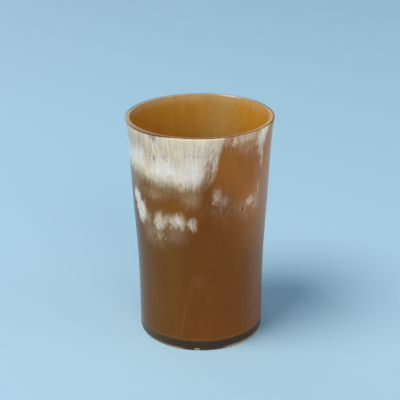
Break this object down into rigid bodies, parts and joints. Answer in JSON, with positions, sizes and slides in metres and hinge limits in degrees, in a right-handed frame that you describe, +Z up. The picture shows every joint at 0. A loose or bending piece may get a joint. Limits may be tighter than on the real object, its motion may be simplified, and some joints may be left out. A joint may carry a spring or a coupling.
{
  "type": "horn tumbler",
  "caption": "Tapered drinking tumbler of polished cow horn, closed near the foot by a glued horn disc that sits in a turned groove.",
  "frame": {"origin": "centre of the foot, on the surface that the tumbler stands on", "axes": "+Z up along the tumbler's axis, from the foot to the lip. The key in the foot faces -Y, the front."},
  "size_m": [0.0732, 0.0732, 0.114],
  "materials": {
    "horn": "polished brown cow horn with cream clouds near the lip",
    "dark_horn": "satin dark brown horn",
    "glue": "clear amber resin glue",
    "pale_horn": "satin pale horn"
  },
  "bodies": {
    "root": {"horn_wall": "horn", "base_disc": "dark_horn", "glue_seam": "glue", "foot_key": "pale_horn"}
  },
  "joints": []
}
